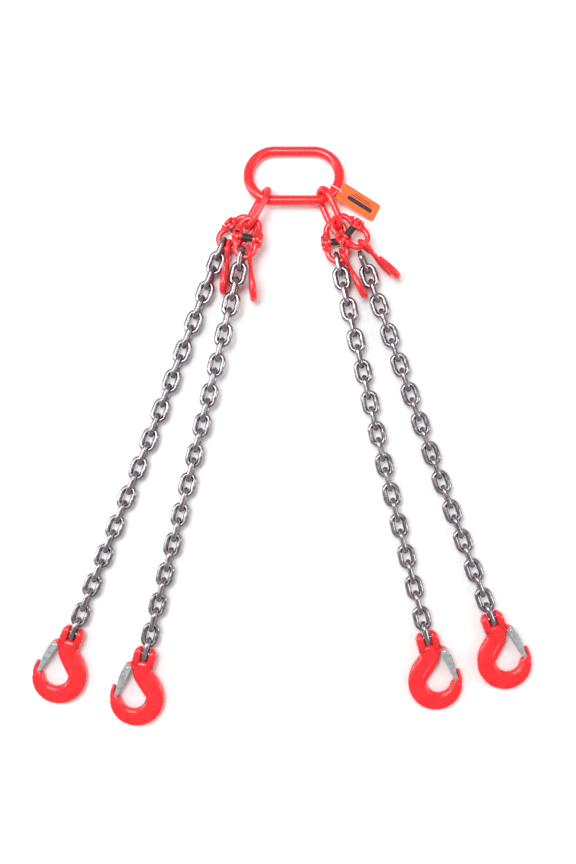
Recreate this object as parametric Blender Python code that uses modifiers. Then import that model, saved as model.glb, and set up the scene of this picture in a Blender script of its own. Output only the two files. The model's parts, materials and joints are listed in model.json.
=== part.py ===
"""Four leg chain sling, laid out flat on the floor with its legs spread.

Top view: +X to the right, +Y towards the master link, +Z up.  The origin is on the floor, in the
middle of the sling's plan.  Every piece is built in a frame of its own, where its load runs along
-Y and a flat piece lies in the XY plane, and is then hung on the piece above it.
"""

import math

import bmesh
import bpy
from mathutils import Matrix, Vector

MM = 0.001
GAP = 0.3 * MM

# Master link: a flat-sided ring of round bar
MASTER_BAR = 7.75 * MM
MASTER_BEND = 39.75 * MM
MASTER_FLAT = 30.0 * MM
MASTER_AT = Vector((8.6 * MM, 374.4 * MM))
MASTER_TILT = 9.77
SHIFT = Vector((9.7, 24.6, 0.0)) * MM

# Intermediate links, each carrying two legs
LINK_BAR = 5.05 * MM
LINK_BEND = 17.75 * MM
LINK_FLAT = 14.5 * MM
INTERMEDIATES = {
    "intermediate_link_left": ((-38.0, 339.9, 22.1), (-28.7, -0.9, -71.3)),
    "intermediate_link_right": ((55.2, 339.3, 21.9), (23.5, -0.2, -68.5)),
}

# Hammerlock connectors: two forged halves on a load pin
BOW_BAR = 4.2 * MM
BOW_EDGE = 2.1 * MM
BOW_BEND = 14.6 * MM
HALF_LENGTH = 30.25 * MM
EAR_INNER = 8.5 * MM
EAR_OUTER = 23.5 * MM
EAR_RADIUS = 6.0 * MM
TONGUE_INNER = 13.5 * MM
TONGUE_OUTER = 18.5 * MM
LOAD_PIN = 3.8 * MM
SLEEVE = 5.4 * MM

# Chain: 8 mm bar, 24 mm inside length
CHAIN_BAR = 4.25 * MM
CHAIN_HALF_WIDTH = 9.5 * MM
CHAIN_HALF_LENGTH = 16.0 * MM
CHAIN_HEIGHT = 13.9 * MM
CROWN_TO_CROWN = 2 * CHAIN_BAR + 0.8 * MM
UPPER_RUN = 13

# Shortening hooks
EYE_BEND = 12.2 * MM
EYE_BAR = 3.7 * MM
GRAB_BAR = 8.0 * MM
GRAB_BEND = 13.0 * MM
GRAB_FLATTEN = 0.72

# Clevis sling hooks
CLEVIS_PIN = 4.4 * MM
PIN_FROM_CROWN = CLEVIS_PIN + CHAIN_BAR + 1.0 * MM
LUG_RADIUS = 9.8 * MM
LUG_HALF_WIDTH = 17.5 * MM
SLOT_HALF_WIDTH = 6.0 * MM
BOWL_HALF_THICKNESS = 7.5 * MM
BOWL_INNER = 19.3 * MM
BOWL_OUTER = 42.0 * MM
HOOK_DROP = 3.2
LATCH_PIVOT = Vector((-20.7 * MM, -26.3 * MM))
LATCH_HEADING = -7.3
LATCH_LENGTH = 46.4 * MM
LATCH_SHEET = 1.2 * MM
RIVET = 2.1 * MM

# Identity tag and its tie
TAG_LENGTH = 70.0 * MM
TAG_WIDTH = 28.0 * MM
TAG_SHEET = 1.2 * MM
TAG_HOLE = 2.8 * MM
TIE_BAR = 0.8 * MM
TIE_REACH = 3.0 * MM
TIE_ANGLE = 32.0

# Where each leg's pieces hang: their place in mm, then heading (from -Y towards +X), drop of the
# far end and roll, in degrees.  pitch is the length of chain one link takes up.
LEGS = {
    "leg1": dict(
        side=-1, hammer=((-56.4, 305.5, 17.6), (-51.4, 3.2, -5.2)),
        link=((-102.8, 261.1, 15.2), (-23.1, -2.9, 80.7)),
        grab=((-90.8, 261.2, 16.3), (-7.2, -4.7, -95.5)),
        upper=-20.7, lower=-21.4, links=13, pitch=24.1, hook=-22.0,
    ),
    "leg2": dict(
        side=-1, hammer=((-55.3, 305.9, 28.3), (-12.7, -4.2, -2.5)),
        link=((-71.4, 243.6, 31.5), (-8.5, 13.0, 77.0)),
        grab=((-58.8, 249.9, 32.4), (5.3, 8.5, -86.5)),
        upper=-13.7, lower=-13.9, links=13, pitch=23.7, hook=-14.8,
    ),
    "leg3": dict(
        side=1, hammer=((71.1, 303.1, 17.7), (5.5, 1.2, -4.0)),
        link=((76.9, 238.6, 16.6), (13.1, -0.8, 81.8)),
        grab=((86.1, 248.6, 16.6), (27.1, -4.8, -95.5)),
        upper=12.9, lower=13.8, links=11, pitch=24.4, hook=14.6,
    ),
    "leg4": dict(
        side=1, hammer=((69.8, 304.4, 28.7), (51.9, -3.2, 4.3)),
        link=((115.9, 240.9, 20.6), (25.0, 19.1, 75.0)),
        grab=((117.5, 262.6, 32.6), (47.9, 9.0, -90.1)),
        upper=19.3, lower=20.2, links=11, pitch=24.0, hook=20.3,
    ),
}

RED = dict(color=(0.88, 0.012, 0.018), roughness=0.32, metallic=0.0)
STEEL = dict(color=(0.16, 0.145, 0.155), roughness=0.38, metallic=1.0)
ZINC = dict(color=(0.78, 0.82, 0.83), roughness=0.3, metallic=1.0)
BLACK = dict(color=(0.025, 0.022, 0.022), roughness=0.5, metallic=0.0)
ORANGE = dict(color=(1.0, 0.145, 0.019), roughness=0.45, metallic=0.0)
WHITE = dict(color=(0.9, 0.89, 0.87), roughness=0.5, metallic=0.0)


# ---------------------------------------------------------------- scene and placing

def clear_scene():
    for obj in list(bpy.data.objects):
        bpy.data.objects.remove(obj)
    for collection in list(bpy.data.collections):
        bpy.data.collections.remove(collection)


def new_collection(name):
    collection = bpy.data.collections.new(name)
    bpy.context.scene.collection.children.link(collection)
    return collection


def frame_at(place, heading=0.0, drop=0.0, roll=0.0):
    """A piece's frame: -Y turned to the heading, then its far end lowered, then rolled about Y."""
    return (
        Matrix.Translation(place)
        @ Matrix.Rotation(math.radians(heading), 4, "Z")
        @ Matrix.Rotation(math.radians(drop), 4, "X")
        @ Matrix.Rotation(math.radians(roll), 4, "Y")
    )


def arc(centre, radius, start, end, steps):
    """Points on an arc from one angle to another, both ends included."""
    angles = [math.radians(start + (end - start) * i / steps) for i in range(steps + 1)]
    return [(centre[0] + radius * math.cos(a), centre[1] + radius * math.sin(a)) for a in angles]


def ring_path(flat, bend, steps):
    """Centreline of a link whose straight sides run along Y, centred on the origin."""
    top = arc((0, flat), bend, 0, 180, steps)
    bottom = arc((0, -flat), bend, 180, 360, steps)
    return top + bottom


# ---------------------------------------------------------------- shapes as meshes

def take_mesh(obj):
    """The finished mesh of an object, with the object removed and its loose caps welded."""
    bpy.context.view_layer.update()
    evaluated = obj.evaluated_get(bpy.context.evaluated_depsgraph_get())
    mesh = bpy.data.meshes.new_from_object(evaluated)
    mesh.transform(obj.matrix_world)
    bpy.data.objects.remove(obj)
    work = bmesh.new()
    work.from_mesh(mesh)
    bmesh.ops.remove_doubles(work, verts=work.verts, dist=1e-6)
    bmesh.ops.recalc_face_normals(work, faces=work.faces)
    work.to_mesh(mesh)
    work.free()
    mesh.materials.clear()
    return mesh


def scratch_object(mesh_or_curve):
    obj = bpy.data.objects.new("scratch", mesh_or_curve)
    bpy.context.scene.collection.objects.link(obj)
    return obj


def bar_mesh(path, radius, sides=8, closed=True, swell=None):
    """Round bar along a path of points (x, y) or (x, y, z)."""
    curve = bpy.data.curves.new("bar", "CURVE")
    curve.dimensions = "3D"
    curve.bevel_depth = radius
    curve.bevel_resolution = (sides - 4) // 2
    curve.use_fill_caps = not closed
    spline = curve.splines.new("POLY")
    spline.points.add(len(path) - 1)
    for index, place in enumerate(path):
        spline.points[index].co = (*place, *([0.0] * (3 - len(place))), 1.0)
        spline.points[index].radius = swell[index] if swell else 1.0
    spline.use_cyclic_u = closed
    return take_mesh(scratch_object(curve))


def plate_mesh(outline, half_thickness, edge=0.0):
    """A flat outline in XY, thickened both ways along Z, with its edges chamfered."""
    curve = bpy.data.curves.new("plate", "CURVE")
    curve.dimensions = "2D"
    curve.fill_mode = "BOTH"
    curve.extrude = half_thickness - edge
    curve.bevel_depth = edge
    curve.bevel_resolution = 0
    curve.offset = -edge
    spline = curve.splines.new("POLY")
    spline.points.add(len(outline) - 1)
    for index, place in enumerate(outline):
        spline.points[index].co = (*place, 0.0, 1.0)
    spline.use_cyclic_u = True
    return take_mesh(scratch_object(curve))


def round_mesh(radius, length, axis="Z", centre=(0, 0, 0), sides=16):
    """A cylinder centred on a point, along one axis."""
    work = bmesh.new()
    bmesh.ops.create_cone(
        work, cap_ends=True, segments=sides, radius1=radius, radius2=radius, depth=length
    )
    mesh = bpy.data.meshes.new("round")
    work.to_mesh(mesh)
    work.free()
    turn = {"Z": Matrix(), "X": Matrix.Rotation(math.pi / 2, 4, "Y")}[axis]
    mesh.transform(Matrix.Translation(centre) @ turn)
    return mesh


def box_mesh(low, high):
    work = bmesh.new()
    bmesh.ops.create_cube(work, size=1.0)
    mesh = bpy.data.meshes.new("box")
    work.to_mesh(mesh)
    work.free()
    low, high = Vector(low), Vector(high)
    mesh.transform(Matrix.Translation((low + high) / 2) @ Matrix.Diagonal((*(high - low), 1)))
    return mesh


def turned_mesh(profile, sides):
    """A profile of (radius, height) points, listed from the top down, turned about Z."""
    mesh = bpy.data.meshes.new("profile")
    count = len(profile)
    edges = [(i, (i + 1) % count) for i in range(count)]
    mesh.from_pydata([(radius, 0, height) for radius, height in profile], edges, [])
    obj = scratch_object(mesh)
    screw = obj.modifiers.new("turn", "SCREW")
    screw.steps = sides
    screw.render_steps = sides
    screw.use_merge_vertices = True
    screw.merge_threshold = 1e-6
    return take_mesh(obj)


def joined(first, second, operation="UNION"):
    """The union of two closed meshes, or the first with the second cut away."""
    target, tool = scratch_object(first), scratch_object(second)
    boolean = target.modifiers.new(operation.lower(), "BOOLEAN")
    boolean.operation = operation
    boolean.solver = "EXACT"
    boolean.object = tool
    mesh = take_mesh(target)
    bpy.data.objects.remove(tool)
    return mesh


def cut(mesh, *tools):
    for tool in tools:
        mesh = joined(mesh, tool, "DIFFERENCE")
    return mesh


def many(mesh, matrices):
    """Copies of one mesh that stay clear of each other, as one mesh."""
    work = bmesh.new()
    for matrix in matrices:
        copy = mesh.copy()
        copy.transform(matrix)
        work.from_mesh(copy)
    result = bpy.data.meshes.new("many")
    work.to_mesh(result)
    work.free()
    return result


def mirrored(mesh):
    """The mesh reflected in X, with its faces turned back to point outwards."""
    copy = mesh.copy()
    copy.transform(Matrix.Diagonal((-1, 1, 1, 1)))
    copy.flip_normals()
    return copy


# ---------------------------------------------------------------- the pieces

def master_mesh():
    """The master link, its long way along X."""
    mesh = bar_mesh(ring_path(MASTER_FLAT, MASTER_BEND, 8), MASTER_BAR, sides=10)
    mesh.transform(Matrix.Rotation(math.pi / 2, 4, "Z"))
    return mesh


def intermediate_mesh():
    """An intermediate link, its origin where it hangs on the master link's bar."""
    mesh = bar_mesh(ring_path(LINK_FLAT, LINK_BEND, 6), LINK_BAR, sides=8)
    mesh.transform(Matrix.Translation((0, link_crown() - LINK_FLAT - LINK_BEND, 0)))
    return mesh


def link_crown():
    """From the master bar's centre up to the intermediate link's own bar centre."""
    return MASTER_BAR + GAP + LINK_BAR


def hammer_half_mesh():
    """One forged half: origin on the load pin, bow along +Y, fork on -X and tongue on +X."""
    rise = HALF_LENGTH - BOW_BEND
    shoulder = 8.5 * MM
    inner = arc((0, rise), BOW_BEND - BOW_BAR, 0, 180, 5)
    outer = arc((0, rise), BOW_BEND + BOW_BAR, 180, 0, 6)
    left = [(-EAR_INNER, shoulder), (-EAR_INNER, 0), (-EAR_OUTER, 0), (-EAR_OUTER, shoulder)]
    right = [(EAR_OUTER, shoulder), (EAR_OUTER, 0), (EAR_INNER, 0), (EAR_INNER, shoulder)]
    mesh = plate_mesh(inner + left + outer + right, BOW_BAR, edge=BOW_EDGE)
    width = EAR_OUTER - EAR_INNER
    middle = (EAR_OUTER + EAR_INNER) / 2
    for side in (-1, 1):
        knuckle = round_mesh(EAR_RADIUS, width, "X", (side * middle, 0, 0), 8)
        mesh = joined(mesh, knuckle)
        x_range = sorted((side * EAR_INNER, side * EAR_OUTER))
        root = box_mesh((x_range[0], 0.2 * MM, -EAR_RADIUS), (x_range[1], 10 * MM, EAR_RADIUS))
        mesh = joined(mesh, root)
    deep = 9 * MM
    top = EAR_RADIUS + 0.5 * MM
    fork_slot = box_mesh(
        (-TONGUE_OUTER - GAP, -deep, -deep), (-TONGUE_INNER + GAP, top, deep)
    )
    beside_in = box_mesh((EAR_INNER - 2 * MM, -deep, -deep), (TONGUE_INNER, top, deep))
    beside_out = box_mesh((TONGUE_OUTER, -deep, -deep), (EAR_OUTER + 2 * MM, top, deep))
    hole = round_mesh(LOAD_PIN + 1.5 * GAP, 60 * MM, "X", sides=8)
    return cut(mesh, fork_slot, beside_in, beside_out, hole)


def load_pin_mesh():
    return round_mesh(LOAD_PIN, 2 * (EAR_OUTER - 0.5 * MM), "X", sides=8)


def sleeve_mesh():
    """The black centring sleeve, with a groove at its middle, along X."""
    half = EAR_INNER - GAP
    bore = LOAD_PIN + GAP
    profile = [
        (bore, half), (SLEEVE, half), (SLEEVE, 1 * MM), (SLEEVE - 1 * MM, 0),
        (SLEEVE, -1 * MM), (SLEEVE, -half), (bore, -half),
    ]
    mesh = turned_mesh(profile, 8)
    mesh.transform(Matrix.Rotation(math.pi / 2, 4, "Y"))
    return mesh


def chain_link_mesh():
    """A face-on chain link, centred on the origin, its length along Y."""
    flat = CHAIN_HALF_LENGTH - CHAIN_HALF_WIDTH
    end = [
        (CHAIN_HALF_WIDTH, flat - 1 * MM),
        (0.5 * CHAIN_HALF_WIDTH, CHAIN_HALF_LENGTH),
        (-0.5 * CHAIN_HALF_WIDTH, CHAIN_HALF_LENGTH),
        (-CHAIN_HALF_WIDTH, flat - 1 * MM),
    ]
    other_end = [(-x, -y) for x, y in end]
    return bar_mesh(end + other_end, CHAIN_BAR, sides=4)


def chain_mesh(count, pitch, first_on_edge):
    """A straight run of links from the origin down -Y, each turned square to the next."""
    link = chain_link_mesh()
    on_edge = Matrix.Rotation(math.pi / 2, 4, "Y")
    flat, edge = [], []
    for index in range(count):
        place = Matrix.Translation((0, -CHAIN_HALF_LENGTH - index * pitch, 0))
        if (index % 2 == 0) == first_on_edge:
            edge.append(place @ on_edge)
        else:
            flat.append(place)
    if not flat:
        return many(link, edge)
    return joined(many(link, flat), many(link, edge))


def grab_hook_mesh():
    """A shortening hook: origin at its eye's centre, its tip on the +X side of the slot."""
    eye = bar_mesh(arc((0, 0), EYE_BEND, 0, 330, 11), EYE_BAR, sides=6)
    low = -50 * MM
    back = [(0, -13 * MM), (-5 * MM, -24 * MM), (-11.5 * MM, -35 * MM)]
    turn = arc((0, low), GRAB_BEND, 180, 360, 6)
    tip = [(13 * MM, -41 * MM), (15.5 * MM, -32 * MM), (19 * MM, -26 * MM)]
    path = back + turn + tip
    swell = [0.6, 0.72, 0.85] + [0.95, 1.0, 1.05, 1.05, 1.05, 1.0, 0.95] + [0.85, 0.72, 0.5]
    body = bar_mesh(path, GRAB_BAR, sides=8, closed=False, swell=swell)
    body.transform(Matrix.Diagonal((1, 1, GRAB_FLATTEN, 1)))
    return joined(eye, body)


def hook_outline():
    """Flat outline of the sling hook, its mouth on the -X side."""
    bowl = (-2 * MM, -68.5 * MM)
    back = (4.5 * MM, -71 * MM)
    neck = [(14 * MM, -4 * MM), (15.5 * MM, -17 * MM), (18.2 * MM, -27 * MM), (26 * MM, -36 * MM)]
    outer = arc(back, BOWL_OUTER, 42, -180, 11)
    tip = arc((-34.4 * MM, -60.5 * MM), 3.1 * MM, 180, 0, 3)
    notch = [(-31.3 * MM, -74 * MM), (-23.5 * MM, -73 * MM)]
    inner = arc(bowl, BOWL_INNER, 194, 387, 8)
    flank = [(-11.8 * MM, -33.5 * MM)]
    boss = arc(LATCH_PIVOT, 5.6 * MM, -60, -250, 5)
    return neck + outer + tip + notch + inner + flank + boss + [(-14 * MM, -4 * MM)]


def sling_hook_mesh():
    """A clevis sling hook for the left legs: origin on the clevis pin, mouth towards -X."""
    mesh = plate_mesh(hook_outline(), BOWL_HALF_THICKNESS, edge=2.5 * MM)
    mesh = joined(mesh, round_mesh(LUG_RADIUS, 2 * LUG_HALF_WIDTH, "X", sides=14))
    shank = box_mesh((-14 * MM, -19 * MM, -9.3 * MM), (LUG_HALF_WIDTH - 1 * MM, 0, 9.3 * MM))
    mesh = joined(mesh, shank)
    bottom = arc((0, -10.4 * MM), SLOT_HALF_WIDTH, 180, 360, 5)
    mouth = [(SLOT_HALF_WIDTH, 2 * MM), (12 * MM, 15 * MM), (-12 * MM, 15 * MM),
             (-SLOT_HALF_WIDTH, 2 * MM)]
    slot = plate_mesh(bottom + mouth, 20 * MM)
    pin_hole = round_mesh(CLEVIS_PIN + GAP, 60 * MM, "X", sides=12)
    rivet_hole = round_mesh(RIVET + GAP, 60 * MM, "Z", (*LATCH_PIVOT, 0), 8)
    pocket = round_mesh(4.9 * MM, 4.8 * MM, "Z", (*LATCH_PIVOT, 0), 8)
    pocket_mouth = box_mesh(
        (LATCH_PIVOT.x - 12 * MM, LATCH_PIVOT.y - 4.3 * MM, -2.4 * MM),
        (LATCH_PIVOT.x, LATCH_PIVOT.y + 4.3 * MM, 2.4 * MM),
    )
    return cut(mesh, slot, pin_hole, rivet_hole, joined(pocket, pocket_mouth))


def latch_mesh():
    """The folded sheet latch: origin on its rivet, closed end along -Y, its back on the -X side."""
    lobe = 5.9 * MM
    outer = BOWL_HALF_THICKNESS + 0.35 * MM + LATCH_SHEET
    inner = outer - LATCH_SHEET
    end_out, end_in = (-4.2 * MM, -LATCH_LENGTH), (1.4 * MM, -LATCH_LENGTH)
    shape = arc((0, 0), lobe, 0, 180, 8) + [end_out, end_in]
    mesh = plate_mesh(shape, outer)
    bare = -9 * MM
    web_x = -lobe + (lobe + end_out[0]) * bare / end_out[1]
    hollow = [
        (-9 * MM, 9 * MM), (-9 * MM, bare), (web_x + LATCH_SHEET, bare),
        (end_out[0] + LATCH_SHEET, -60 * MM), (9 * MM, -60 * MM), (9 * MM, 9 * MM),
    ]
    hole = round_mesh(RIVET + GAP, 60 * MM, "Z", sides=8)
    return cut(mesh, plate_mesh(hollow, inner), hole)


def rivet_mesh():
    return round_mesh(RIVET, 2 * (BOWL_HALF_THICKNESS + 2.6 * MM), "Z", sides=8)


def latch_spring_mesh():
    """The latch's torsion spring, as the turned shell that its turns fill."""
    half = 2.0 * MM
    bore = RIVET + GAP
    wall = 4.3 * MM
    return turned_mesh([(bore, half), (wall, half), (wall, -half), (bore, -half)], 10)


def tag_mesh():
    """The tag: origin at its hole, length along -Y."""
    corner, edge = 4 * MM, 5 * MM
    half = TAG_WIDTH / 2 - corner
    low = edge - TAG_LENGTH
    shape = (
        arc((half, edge - corner), corner, 0, 90, 3)
        + arc((-half, edge - corner), corner, 90, 180, 3)
        + arc((-half, low + corner), corner, 180, 270, 3)
        + arc((half, low + corner), corner, 270, 360, 3)
    )
    mesh = plate_mesh(shape, TAG_SHEET / 2)
    return cut(mesh, round_mesh(TAG_HOLE, 20 * MM, "Z", sides=12))


def tie_mesh():
    """The loop round the master link's bar: origin on that bar, the tag's side along -Y."""
    over = MASTER_BAR + TIE_BAR + 3 * GAP
    path = [(0, *point) for point in arc((0, 0), over, 0, 360 - 22.5, 15)]
    reach = [(x, y - TIE_REACH if y < -0.3 * over else y, z) for x, y, z in path]
    return bar_mesh(reach, TIE_BAR, sides=6)


# ---------------------------------------------------------------- materials and assembly

def material(name, color, roughness, metallic):
    finish = bpy.data.materials.get(name)
    if finish:
        return finish
    finish = bpy.data.materials.new(name)
    finish.use_nodes = True
    finish.diffuse_color = (*color, 1)
    shader = finish.node_tree.nodes["Principled BSDF"]
    shader.inputs["Base Color"].default_value = (*color, 1)
    shader.inputs["Roughness"].default_value = roughness
    shader.inputs["Metallic"].default_value = metallic
    return finish


def add_piece(collection, name, mesh, finish, pivot, offset=None):
    """A named piece under an empty that stands on its joint."""
    mesh = mesh.copy()
    mesh.name = name
    mesh.materials.append(material(name, **finish))
    for polygon in mesh.polygons:
        polygon.use_smooth = False
    obj = bpy.data.objects.new(name, mesh)
    collection.objects.link(obj)
    obj.parent = pivot
    if offset is not None:
        obj.matrix_local = offset
    return obj


def add_pivot(collection, name, frame):
    pivot = bpy.data.objects.new(name + "_joint", None)
    pivot.empty_display_size = 0.02
    collection.objects.link(pivot)
    pivot.matrix_world = frame
    return pivot


def master_frame():
    rise = MASTER_BEND * math.sin(math.radians(MASTER_TILT))
    return frame_at(Vector((*MASTER_AT, MASTER_BAR + rise)) + SHIFT, drop=-MASTER_TILT)


def master_bar_point(side, angle):
    """A point on the centre of the master link's bar, angle degrees below its end's level."""
    turn = math.radians(angle)
    x = side * (MASTER_FLAT + MASTER_BEND * math.cos(turn))
    return master_frame() @ Vector((x, -MASTER_BEND * math.sin(turn), 0))


def hung(placement):
    """The frame of a placement: a place in mm, then heading, drop and roll in degrees."""
    place, turn = placement
    return frame_at(Vector(place) * MM + SHIFT, *turn)


def leg_frames(leg):
    """Every frame down one leg, from the hammerlock's upper half to the latch."""
    frames = {}
    frames["hammer_upper"] = hung(leg["hammer"])
    frames["pin"] = frames["hammer_upper"] @ Matrix.Translation((0, -HALF_LENGTH, 0))
    pitch = leg["pitch"] * MM
    frames["first_link"] = hung(leg["link"]) @ Matrix.Translation((0, CHAIN_HALF_LENGTH, 0))
    frames["upper_joint"] = frames["first_link"] @ Matrix.Translation((0, -2 * CHAIN_HALF_LENGTH, 0))
    start = frames["upper_joint"] @ Vector((0, CROWN_TO_CROWN, 0))
    run = 2 * CHAIN_HALF_LENGTH + (UPPER_RUN - 1) * pitch
    sink = math.degrees(math.asin((start.z - CHAIN_HEIGHT) / run))
    frames["upper_chain"] = frame_at(start, leg["upper"], sink, -9)
    frames["lower_joint"] = frames["upper_chain"] @ Matrix.Translation((0, -run, 0))
    start = frames["lower_joint"] @ Vector((0, CROWN_TO_CROWN, 0))
    frames["lower_chain"] = frame_at(start, leg["lower"], 0, -4)
    run = 2 * CHAIN_HALF_LENGTH + (leg["links"] - 1) * pitch
    pin = frames["lower_chain"] @ Vector((0, PIN_FROM_CROWN - run, 0))
    frames["hook"] = frame_at(pin, leg["hook"], HOOK_DROP)
    mouth = -leg["side"]
    pivot = Vector((mouth * LATCH_PIVOT.x, LATCH_PIVOT.y, 0))
    frames["latch"] = frames["hook"] @ frame_at(pivot, mouth * LATCH_HEADING)
    frames["grab_eye"] = hung(leg["grab"])
    bow = frames["pin"] @ Vector((0, -(HALF_LENGTH - BOW_BEND), 0))
    reach = frames["grab_eye"].translation - bow
    across = frames["pin"].to_3x3() @ Vector((0, 0, 1))
    reach -= across * reach.dot(across)
    seat = bow + reach.normalized() * BOW_BEND
    frames["grab"] = Matrix.Translation(seat) @ frames["grab_eye"].to_3x3().to_4x4()
    return frames


def build_leg(collection, name, leg, shapes):
    frames = leg_frames(leg)
    mirror = leg["side"] > 0
    half_turn = Matrix.Rotation(math.pi, 4, "Z")
    to_pin = Matrix.Translation((0, -HALF_LENGTH, 0))

    def hang(part, mesh, finish, frame, offset=None):
        pivot = add_pivot(collection, f"{name}_{part}", frames[frame])
        add_piece(collection, f"{name}_{part}", mesh, finish, pivot, offset)
        return pivot

    upper = hang("hammerlock_upper_half", shapes["half"], RED, "hammer_upper", to_pin)
    add_piece(collection, f"{name}_load_pin", shapes["load_pin"], STEEL, upper, to_pin)
    add_piece(collection, f"{name}_centring_sleeve", shapes["sleeve"], BLACK, upper, to_pin)
    hang("hammerlock_lower_half", shapes["half"], RED, "pin", half_turn)
    hang("first_chain_link", shapes["link"], STEEL, "first_link")
    upper_chain = chain_mesh(UPPER_RUN, leg["pitch"] * MM, False)
    hang("upper_chain", upper_chain, STEEL, "upper_joint",
         frames["upper_joint"].inverted() @ frames["upper_chain"])
    lower_chain = chain_mesh(leg["links"], leg["pitch"] * MM, True)
    hang("lower_chain", lower_chain, STEEL, "lower_joint",
         frames["lower_joint"].inverted() @ frames["lower_chain"])
    hang("shortening_hook", shapes["grab"], RED, "grab",
         frames["grab"].inverted() @ frames["grab_eye"])
    body, latch = shapes["hook"], shapes["latch"]
    if mirror:
        body, latch = mirrored(body), mirrored(latch)
    hook = hang("sling_hook", body, RED, "hook")
    add_piece(collection, f"{name}_clevis_pin", shapes["clevis_pin"], STEEL, hook)
    at_rivet = frames["hook"].inverted() @ frames["latch"]
    add_piece(collection, f"{name}_latch_rivet", shapes["rivet"], ZINC, hook, at_rivet)
    add_piece(collection, f"{name}_latch_spring", shapes["spring"], ZINC, hook, at_rivet)
    hang("latch", latch, ZINC, "latch")


def tie_frame():
    return frame_at(master_bar_point(1, TIE_ANGLE), 90 - TIE_ANGLE)


def tag_frame():
    """The tag lies on the master link's bar and slopes to the floor, its hole on the tie."""
    over = MASTER_BAR + TIE_BAR + 3 * GAP
    hole = tie_frame() @ Vector((0, -0.85 * over - TIE_REACH, 0.52 * over))
    return frame_at(hole, 62, 18)


def build_sling():
    clear_scene()
    collection = new_collection("four_leg_chain_sling")
    shapes = dict(
        half=hammer_half_mesh(), load_pin=load_pin_mesh(), sleeve=sleeve_mesh(),
        link=chain_mesh(1, 0, False), grab=grab_hook_mesh(), hook=sling_hook_mesh(),
        latch=latch_mesh(), rivet=rivet_mesh(), spring=latch_spring_mesh(),
        clevis_pin=round_mesh(CLEVIS_PIN, 2 * (LUG_HALF_WIDTH - 0.5 * MM), "X", sides=12),
    )
    master = add_pivot(collection, "master_link", master_frame())
    add_piece(collection, "master_link", master_mesh(), RED, master)
    for name, placement in INTERMEDIATES.items():
        pivot = add_pivot(collection, name, hung(placement))
        add_piece(collection, name, intermediate_mesh(), RED, pivot)
    tie = add_pivot(collection, "tag_tie", tie_frame())
    add_piece(collection, "tag_tie", tie_mesh(), WHITE, tie)
    tag = add_pivot(collection, "identity_tag", tag_frame())
    add_piece(collection, "identity_tag", tag_mesh(), ORANGE, tag)
    for name, leg in LEGS.items():
        build_leg(collection, name, leg, shapes)


build_sling()
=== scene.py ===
# %% [markdown]
# # A four leg chain sling, seen from above
#
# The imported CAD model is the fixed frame: it says where each link, hook and pin is and which body
# it moves with.  Here each of those pieces gets its real surface.  A piece is built in the frame of
# the joint it hangs on, where the load runs along -Y, and is then written into the row frame, so
# that its object stays at the origin.

# %% Load the frame
import json

import bpy
import numpy as np
from mathutils import Matrix, Vector

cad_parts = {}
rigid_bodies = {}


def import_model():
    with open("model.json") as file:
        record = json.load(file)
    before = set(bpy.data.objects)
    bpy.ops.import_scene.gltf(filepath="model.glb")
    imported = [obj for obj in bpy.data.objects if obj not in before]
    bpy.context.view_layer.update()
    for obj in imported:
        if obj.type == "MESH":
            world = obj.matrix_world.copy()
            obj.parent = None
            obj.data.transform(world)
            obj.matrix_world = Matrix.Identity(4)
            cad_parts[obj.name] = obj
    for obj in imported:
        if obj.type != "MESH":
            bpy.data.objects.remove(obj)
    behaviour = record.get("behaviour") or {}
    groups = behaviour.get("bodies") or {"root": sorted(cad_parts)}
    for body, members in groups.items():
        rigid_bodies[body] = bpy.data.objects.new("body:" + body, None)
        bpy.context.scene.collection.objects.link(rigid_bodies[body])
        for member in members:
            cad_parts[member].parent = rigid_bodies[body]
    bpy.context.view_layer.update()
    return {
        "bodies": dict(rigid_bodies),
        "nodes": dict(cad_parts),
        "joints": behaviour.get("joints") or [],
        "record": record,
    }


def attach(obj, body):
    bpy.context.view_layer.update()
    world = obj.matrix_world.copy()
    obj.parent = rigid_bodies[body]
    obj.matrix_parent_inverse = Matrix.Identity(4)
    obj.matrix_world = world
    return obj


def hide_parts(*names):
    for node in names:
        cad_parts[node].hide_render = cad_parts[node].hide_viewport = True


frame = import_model()
nodes = frame["nodes"]
MM = 0.001

# %% [markdown]
# ## Where things are
#
# `frame_at` is a joint's frame: a place, the heading of its -Y axis (degrees from -Y towards +X),
# the drop of its far end and its roll.  The table gives, for each leg, the three placements that
# everything below it follows from.

# %% Placements
SHIFT = Vector((9.7, 24.6, 0.0)) * MM
LEGS = {
    "leg1": dict(
        side=-1, hammer=((-56.4, 305.5, 17.6), (-51.4, 3.2, -5.2)),
        link=((-102.8, 261.1, 15.2), (-23.1, -2.9, 80.7)),
        grab=((-90.8, 261.2, 16.3), (-7.2, -4.7, -95.5)),
        upper=-20.7, lower=-21.4, links=13, pitch=24.1, hook=-22.0,
    ),
    "leg2": dict(
        side=-1, hammer=((-55.3, 305.9, 28.3), (-12.7, -4.2, -2.5)),
        link=((-71.4, 243.6, 31.5), (-8.5, 13.0, 77.0)),
        grab=((-58.8, 249.9, 32.4), (5.3, 8.5, -86.5)),
        upper=-13.7, lower=-13.9, links=13, pitch=23.7, hook=-14.8,
    ),
    "leg3": dict(
        side=1, hammer=((71.1, 303.1, 17.7), (5.5, 1.2, -4.0)),
        link=((76.9, 238.6, 16.6), (13.1, -0.8, 81.8)),
        grab=((86.1, 248.6, 16.6), (27.1, -4.8, -95.5)),
        upper=12.9, lower=13.8, links=11, pitch=24.4, hook=14.6,
    ),
    "leg4": dict(
        side=1, hammer=((69.8, 304.4, 28.7), (51.9, -3.2, 4.3)),
        link=((115.9, 240.9, 20.6), (25.0, 19.1, 75.0)),
        grab=((117.5, 262.6, 32.6), (47.9, 9.0, -90.1)),
        upper=19.3, lower=20.2, links=11, pitch=24.0, hook=20.3,
    ),
}
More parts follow.
